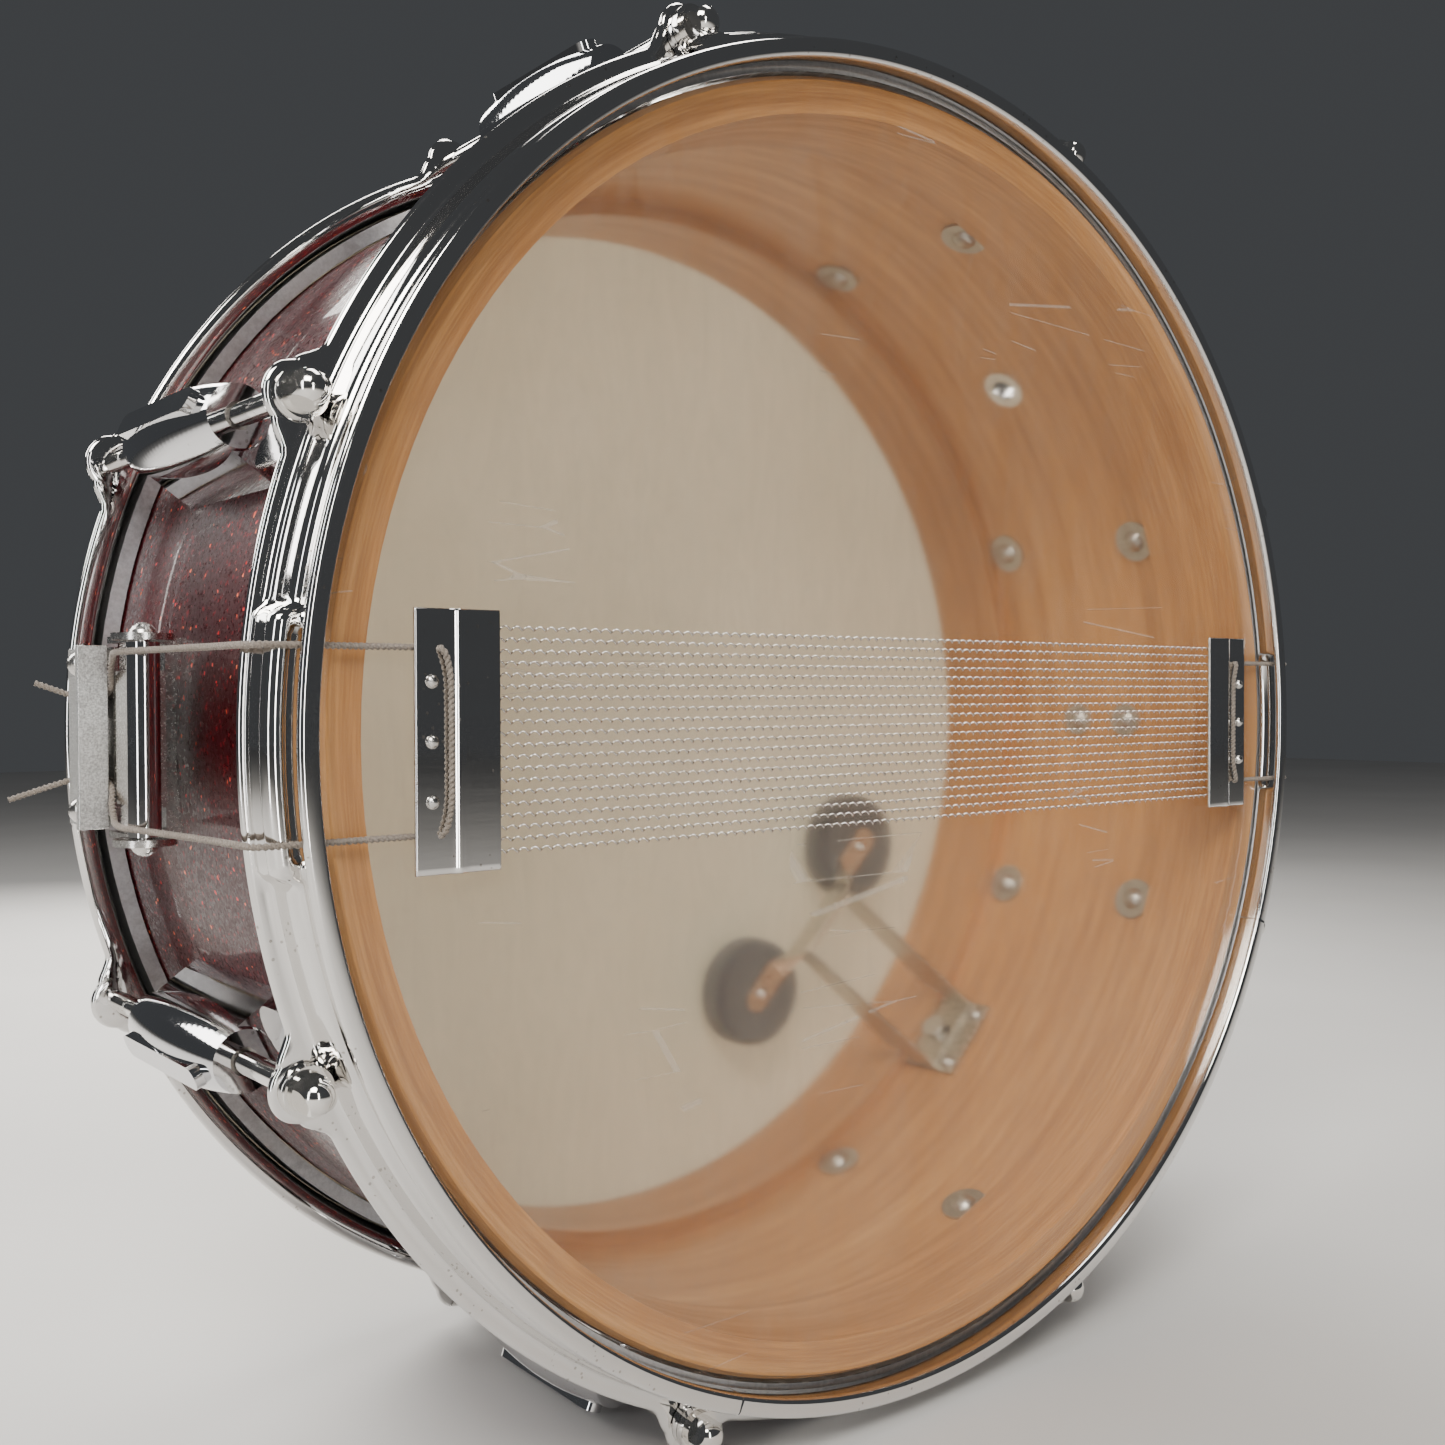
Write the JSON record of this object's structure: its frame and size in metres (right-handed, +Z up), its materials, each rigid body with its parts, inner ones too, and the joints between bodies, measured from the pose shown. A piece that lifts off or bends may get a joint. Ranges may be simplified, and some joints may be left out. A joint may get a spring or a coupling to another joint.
{
  "type": "snare drum",
  "caption": "Snare drum: wooden shell in sparkle wrap, chromed hoops and lugs, coiled snares on cords, throw-off strainer, inner felt muffler.",
  "frame": {"origin": "on the drum's axis, in the plane of the snare-side rim", "axes": "+Y along the drum's axis from the snare side to the batter side, +Z up with the drum standing on the edge of its hoops, strainer at -X and butt at +X"},
  "size_m": [0.4056, 0.1537, 0.3816],
  "materials": {
    "maple_shell": "satin lacquer",
    "maple_rings": "satin lacquer",
    "sparkle_wrap": "gloss with embedded glitter",
    "chrome_trim": "polished",
    "chrome_hoops": "polished, slightly pitted",
    "chrome_lugs": "polished",
    "chrome_rods": "polished, worn",
    "clear_film": "hazy clear film",
    "coated_film": "cream, coated",
    "aluminium_hoops": "plain",
    "plain_steel": "dull nickel",
    "strainer_steel": "nickel, fine grain",
    "blasted_steel": "sandblasted",
    "snare_wire": "bright wire",
    "braided_cord": "braided, brown-grey",
    "muffler_strap": "dull, pale",
    "grey_felt": "felt"
  },
  "bodies": {
    "drum": {"shell": "maple_shell", "reinforcement_rings": "maple_rings", "shell_wrap": "sparkle_wrap", "vent_grommet": "chrome_trim", "snare_hoop": "chrome_hoops", "batter_hoop": "chrome_hoops", "snare_head": "clear_film", "snare_flesh_hoop": "aluminium_hoops", "batter_head": "coated_film", "batter_flesh_hoop": "aluminium_hoops", "lug_1": "chrome_lugs", "lug_2": "chrome_lugs", "lug_3": "chrome_lugs", "lug_4": "chrome_lugs", "lug_5": "chrome_lugs", "lug_6": "chrome_lugs", "lug_7": "chrome_lugs", "lug_8": "chrome_lugs", "swivel_nuts": "plain_steel", "lug_screws": "plain_steel", "rod_washers": "chrome_trim", "strainer_base": "strainer_steel", "strainer_pivot_screws": "strainer_steel", "butt_plate": "chrome_trim", "butt_clamp_bar": "strainer_steel", "bracket_screws": "plain_steel", "snare_end_plates": "chrome_trim", "snare_strands": "snare_wire", "end_plate_rivets": "plain_steel", "strainer_cord": "braided_cord", "butt_cord": "braided_cord", "muffler_base": "muffler_strap"},
    "snare_rod_1_body": {"snare_rod_1": "chrome_rods"},
    "snare_rod_2_body": {"snare_rod_2": "chrome_rods"},
    "snare_rod_3_body": {"snare_rod_3": "chrome_rods"},
    "snare_rod_4_body": {"snare_rod_4": "chrome_rods"},
    "snare_rod_5_body": {"snare_rod_5": "chrome_rods"},
    "snare_rod_6_body": {"snare_rod_6": "chrome_rods"},
    "snare_rod_7_body": {"snare_rod_7": "chrome_rods"},
    "snare_rod_8_body": {"snare_rod_8": "chrome_rods"},
    "batter_rod_1_body": {"batter_rod_1": "chrome_rods"},
    "batter_rod_2_body": {"batter_rod_2": "chrome_rods"},
    "batter_rod_3_body": {"batter_rod_3": "chrome_rods"},
    "batter_rod_4_body": {"batter_rod_4": "chrome_rods"},
    "batter_rod_5_body": {"batter_rod_5": "chrome_rods"},
    "batter_rod_6_body": {"batter_rod_6": "chrome_rods"},
    "batter_rod_7_body": {"batter_rod_7": "chrome_rods"},
    "batter_rod_8_body": {"batter_rod_8": "chrome_rods"},
    "throw_off": {"strainer_barrel": "chrome_trim", "strainer_arm": "strainer_steel"},
    "cord_clamp": {"cord_clamp_block": "blasted_steel", "cord_clamp_bar": "strainer_steel", "cord_clamp_screws": "strainer_steel", "strainer_cord_ends": "braided_cord"},
    "tension_knob": {"snare_tension_knob": "strainer_steel"},
    "muffler_dial": {"muffler_knob": "chrome_trim"},
    "muffler_arm": {"muffler_stirrup": "muffler_strap", "muffler_spring_bar": "muffler_strap", "muffler_pads": "grey_felt", "muffler_pad_rivets": "plain_steel"}
  },
  "joints": [
    {"name": "snare_rod_1_turn", "type": "hinge", "parent": "drum", "child": "snare_rod_1_body", "pos_m": [0.17738, 0.012, 0.07347], "axis": [0, 1, 0], "continuous": true},
    {"name": "snare_rod_2_turn", "type": "hinge", "parent": "drum", "child": "snare_rod_2_body", "pos_m": [0.07347, 0.012, 0.17738], "axis": [0, 1, 0], "continuous": true},
    {"name": "snare_rod_3_turn", "type": "hinge", "parent": "drum", "child": "snare_rod_3_body", "pos_m": [-0.07347, 0.012, 0.17738], "axis": [0, 1, 0], "continuous": true},
    {"name": "snare_rod_4_turn", "type": "hinge", "parent": "drum", "child": "snare_rod_4_body", "pos_m": [-0.17738, 0.012, 0.07347], "axis": [0, 1, 0], "continuous": true},
    {"name": "snare_rod_5_turn", "type": "hinge", "parent": "drum", "child": "snare_rod_5_body", "pos_m": [-0.17738, 0.012, -0.07347], "axis": [0, 1, 0], "continuous": true},
    {"name": "snare_rod_6_turn", "type": "hinge", "parent": "drum", "child": "snare_rod_6_body", "pos_m": [-0.07347, 0.012, -0.17738], "axis": [0, 1, 0], "continuous": true},
    {"name": "snare_rod_7_turn", "type": "hinge", "parent": "drum", "child": "snare_rod_7_body", "pos_m": [0.07347, 0.012, -0.17738], "axis": [0, 1, 0], "continuous": true},
    {"name": "snare_rod_8_turn", "type": "hinge", "parent": "drum", "child": "snare_rod_8_body", "pos_m": [0.17738, 0.012, -0.07347], "axis": [0, 1, 0], "continuous": true},
    {"name": "batter_rod_1_turn", "type": "hinge", "parent": "drum", "child": "batter_rod_1_body", "pos_m": [0.17738, 0.1417, 0.07347], "axis": [0, 1, 0], "continuous": true},
    {"name": "batter_rod_2_turn", "type": "hinge", "parent": "drum", "child": "batter_rod_2_body", "pos_m": [0.07347, 0.1417, 0.17738], "axis": [0, 1, 0], "continuous": true},
    {"name": "batter_rod_3_turn", "type": "hinge", "parent": "drum", "child": "batter_rod_3_body", "pos_m": [-0.07347, 0.1417, 0.17738], "axis": [0, 1, 0], "continuous": true},
    {"name": "batter_rod_4_turn", "type": "hinge", "parent": "drum", "child": "batter_rod_4_body", "pos_m": [-0.17738, 0.1417, 0.07347], "axis": [0, 1, 0], "continuous": true},
    {"name": "batter_rod_5_turn", "type": "hinge", "parent": "drum", "child": "batter_rod_5_body", "pos_m": [-0.17738, 0.1417, -0.07347], "axis": [0, 1, 0], "continuous": true},
    {"name": "batter_rod_6_turn", "type": "hinge", "parent": "drum", "child": "batter_rod_6_body", "pos_m": [-0.07347, 0.1417, -0.17738], "axis": [0, 1, 0], "continuous": true},
    {"name": "batter_rod_7_turn", "type": "hinge", "parent": "drum", "child": "batter_rod_7_body", "pos_m": [0.07347, 0.1417, -0.17738], "axis": [0, 1, 0], "continuous": true},
    {"name": "batter_rod_8_turn", "type": "hinge", "parent": "drum", "child": "batter_rod_8_body", "pos_m": [0.17738, 0.1417, -0.07347], "axis": [0, 1, 0], "continuous": true},
    {"name": "throw_off_hinge", "type": "hinge", "parent": "drum", "child": "throw_off", "pos_m": [-0.1926, 0.068, 0], "axis": [0, 0, 1], "range_deg": [0, 95]},
    {"name": "tension_knob_turn", "type": "hinge", "parent": "throw_off", "child": "tension_knob", "pos_m": [-0.1872, 0.116, 0], "axis": [0, 1, 0], "range_deg": [0, 1800]},
    {"name": "cord_clamp_slide", "type": "slide", "parent": "throw_off", "child": "cord_clamp", "axis": [0, 1, 0], "range_m": [0, 0.00399]},
    {"name": "muffler_dial_turn", "type": "hinge", "parent": "drum", "child": "muffler_dial", "pos_m": [0.1308, 0.108, -0.1308], "axis": [0.7071, 0, -0.7071], "range_deg": [0, 270]},
    {"name": "muffler_arm_slide", "type": "slide", "parent": "drum", "child": "muffler_arm", "axis": [0, 1, 0], "range_m": [0, 0.00399]}
  ],
  "couplings": [
    {"joint": "tension_knob_turn", "follows": "cord_clamp_slide", "rad_per_m": 7860},
    {"joint": "muffler_dial_turn", "follows": "muffler_arm_slide", "rad_per_m": 1178}
  ]
}
